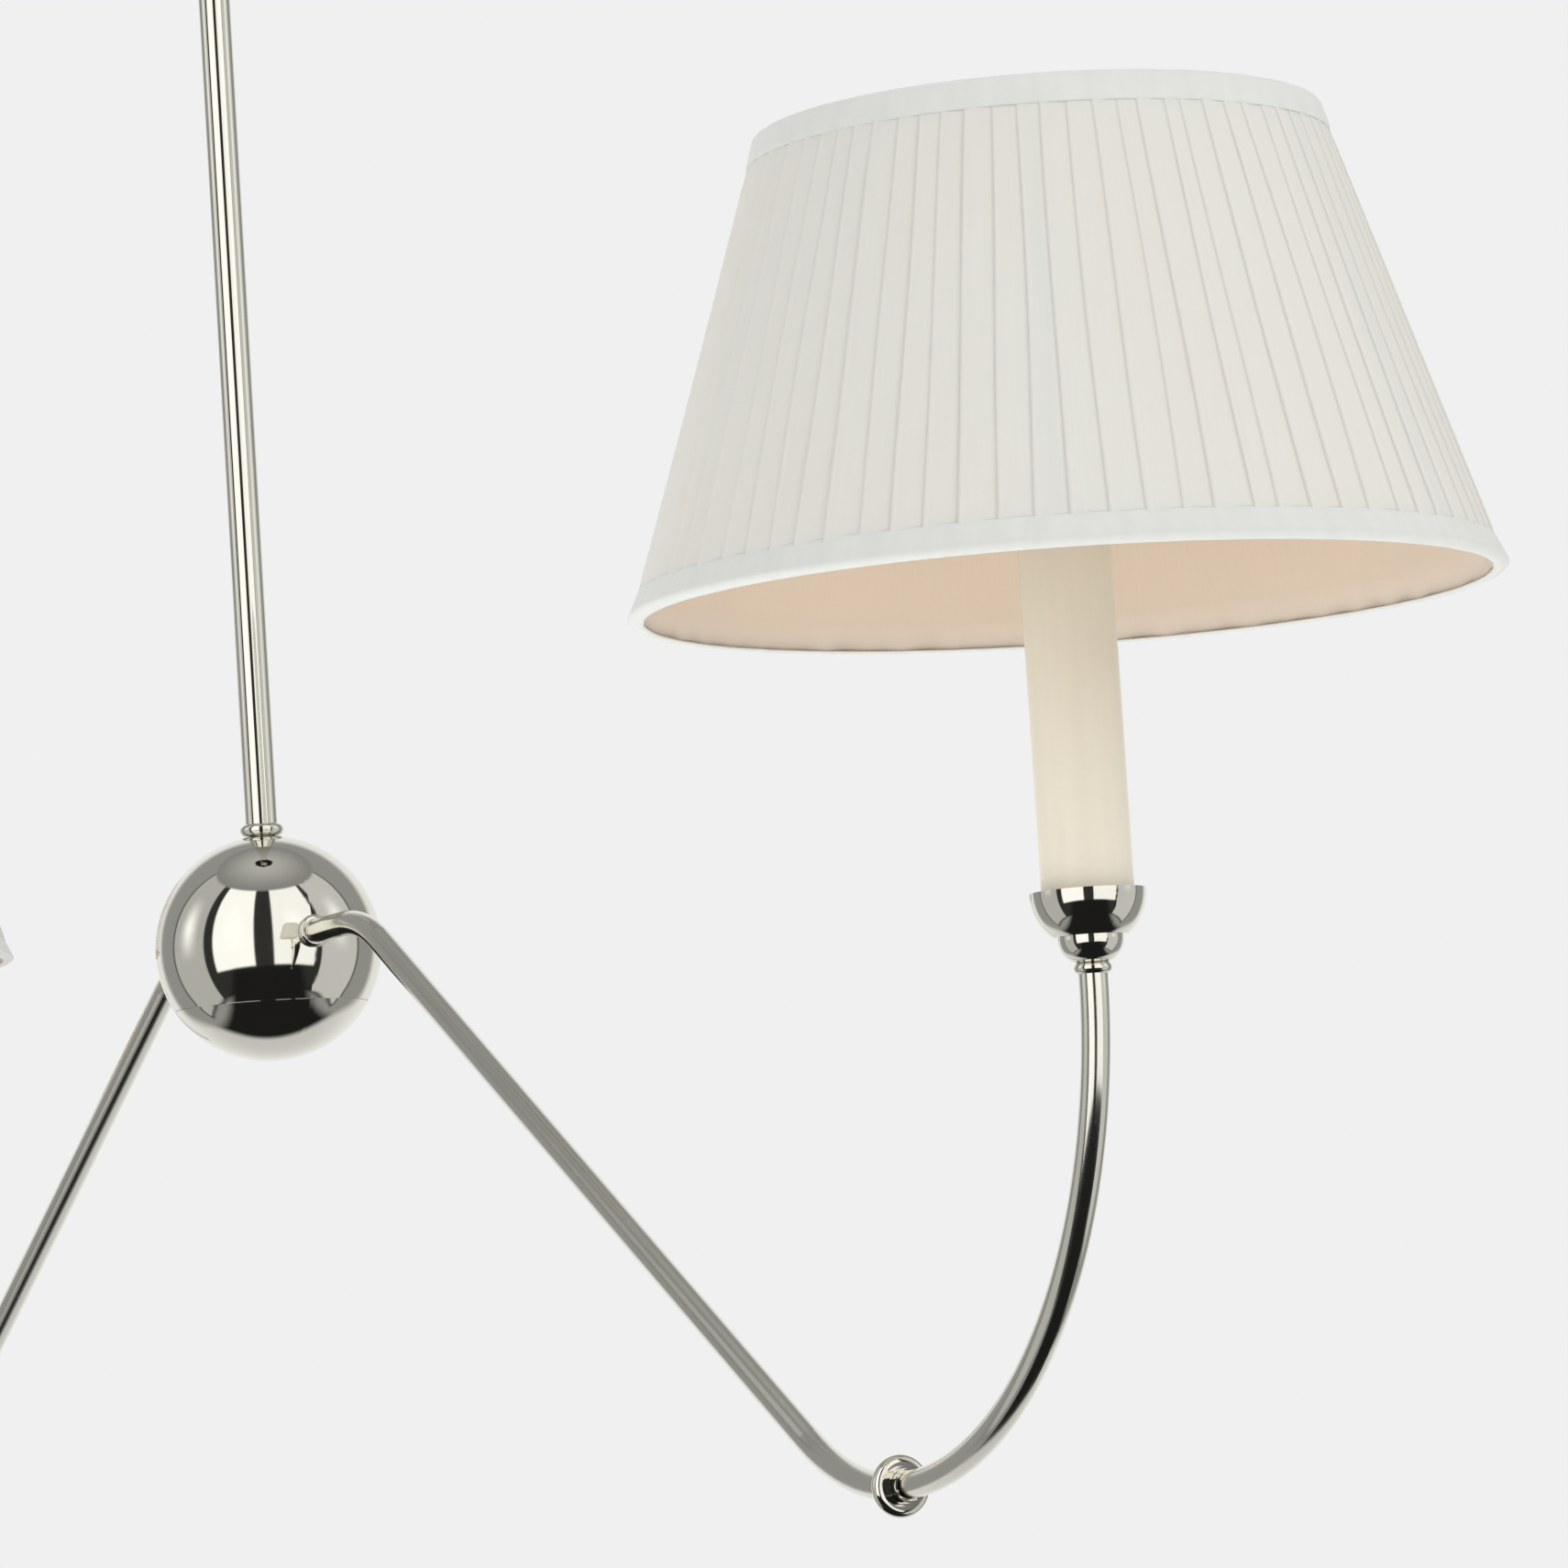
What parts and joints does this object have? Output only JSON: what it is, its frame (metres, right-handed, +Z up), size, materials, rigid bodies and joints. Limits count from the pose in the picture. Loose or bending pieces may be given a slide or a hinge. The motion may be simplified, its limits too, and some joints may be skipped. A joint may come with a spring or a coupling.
{
  "type": "two-arm hanging light",
  "caption": "Stem-hung ceiling light: polished ball hub, opposed bent arms, stepped knuckles, curved uprights, candle sleeves and pleated tapered shades.",
  "frame": {"origin": "centre of the ceiling face, where the mounting strap and the canopy's rim meet the ceiling", "axes": "+Z up, out of the ceiling face; +X along the arms, through both candles"},
  "size_m": [1.6006, 0.28, 0.8386],
  "materials": {
    "polished_nickel": "mirror-polished nickel plate",
    "zinc_steel": "zinc-plated steel",
    "candle_ivory": "ivory candle sleeve, satin",
    "lampholder_black": "moulded phenolic",
    "contact_brass": "plain brass",
    "bulb_glass": "frosted glass",
    "shade_cloth": "knife-pleated white cotton",
    "shade_tape": "white bias tape",
    "shade_lining": "smooth warm white lining",
    "shade_wire": "white coated wire",
    "wire_sleeve": "plastic sleeve"
  },
  "bodies": {
    "ceiling_mount": {"mounting_strap": "zinc_steel", "canopy": "polished_nickel", "canopy_studs": "zinc_steel", "canopy_cap_nuts": "polished_nickel", "swivel_nipple": "zinc_steel", "swivel_locknut": "zinc_steel", "swivel_socket": "polished_nickel"},
    "swivel": {"swivel_yoke": "polished_nickel"},
    "fixture": {"tilt_pin": "zinc_steel", "stem_head": "polished_nickel", "stem_tube": "polished_nickel", "stem_ring": "polished_nickel", "hub_nipple": "zinc_steel", "ball_shell": "polished_nickel", "ball_cap": "polished_nickel", "hub_block": "zinc_steel", "arm_locknuts": "zinc_steel", "fixture_leads": "wire_sleeve", "arm_right": "polished_nickel", "arm_ring_right": "polished_nickel", "knuckle_right": "polished_nickel", "arm_left": "polished_nickel", "arm_ring_left": "polished_nickel", "knuckle_left": "polished_nickel"},
    "upright_right": {"ferrule_right": "polished_nickel", "upright_right": "polished_nickel", "upright_lead_right": "wire_sleeve", "neck_ring_right": "polished_nickel", "small_bowl_right": "polished_nickel", "candle_cup_right": "polished_nickel", "lamp_pipe_right": "zinc_steel", "candle_sleeve_right": "candle_ivory", "lampholder_right": "lampholder_black", "lamp_contact_right": "contact_brass", "shade_nuts_right": "lampholder_black"},
    "shade_right": {"shade_frame_right": "shade_wire", "shade_spider_right": "shade_wire", "shade_cover_right": "shade_cloth", "shade_lining_right": "shade_lining", "shade_tapes_right": "shade_tape"},
    "bulb_right": {"bulb_base_right": "contact_brass", "bulb_glass_right": "bulb_glass"},
    "upright_left": {"ferrule_left": "polished_nickel", "upright_left": "polished_nickel", "upright_lead_left": "wire_sleeve", "neck_ring_left": "polished_nickel", "small_bowl_left": "polished_nickel", "candle_cup_left": "polished_nickel", "lamp_pipe_left": "zinc_steel", "candle_sleeve_left": "candle_ivory", "lampholder_left": "lampholder_black", "lamp_contact_left": "contact_brass", "shade_nuts_left": "lampholder_black"},
    "shade_left": {"shade_frame_left": "shade_wire", "shade_spider_left": "shade_wire", "shade_cover_left": "shade_cloth", "shade_lining_left": "shade_lining", "shade_tapes_left": "shade_tape"},
    "bulb_left": {"bulb_base_left": "contact_brass", "bulb_glass_left": "bulb_glass"}
  },
  "joints": [
    {"name": "stem_turn", "type": "hinge", "parent": "ceiling_mount", "child": "swivel", "pos_m": [0, 0, -0.0453], "axis": [0, 0, 1], "range_deg": [-170, 170]},
    {"name": "stem_tilt", "type": "hinge", "parent": "swivel", "child": "fixture", "pos_m": [0, 0, -0.0543], "axis": [1, 0, 0], "range_deg": [-35, 35]},
    {"name": "upright_swing_right", "type": "hinge", "parent": "fixture", "child": "upright_right", "pos_m": [0.5082, 0, -0.828], "axis": [1, 0, 0], "range_deg": [-25, 25]},
    {"name": "shade_turn_right", "type": "hinge", "parent": "upright_right", "child": "shade_right", "pos_m": [0.6603, 0, -0.5], "axis": [0, 0, 1], "continuous": true},
    {"name": "bulb_turn_right", "type": "hinge", "parent": "upright_right", "child": "bulb_right", "pos_m": [0.6603, 0, -0.5], "axis": [0, 0, 1], "continuous": true},
    {"name": "upright_swing_left", "type": "hinge", "parent": "fixture", "child": "upright_left", "pos_m": [-0.5082, 0, -0.828], "axis": [1, 0, 0], "range_deg": [-25, 25]},
    {"name": "shade_turn_left", "type": "hinge", "parent": "upright_left", "child": "shade_left", "pos_m": [-0.6603, 0, -0.5], "axis": [0, 0, 1], "continuous": true},
    {"name": "bulb_turn_left", "type": "hinge", "parent": "upright_left", "child": "bulb_left", "pos_m": [-0.6603, 0, -0.5], "axis": [0, 0, 1], "continuous": true}
  ]
}
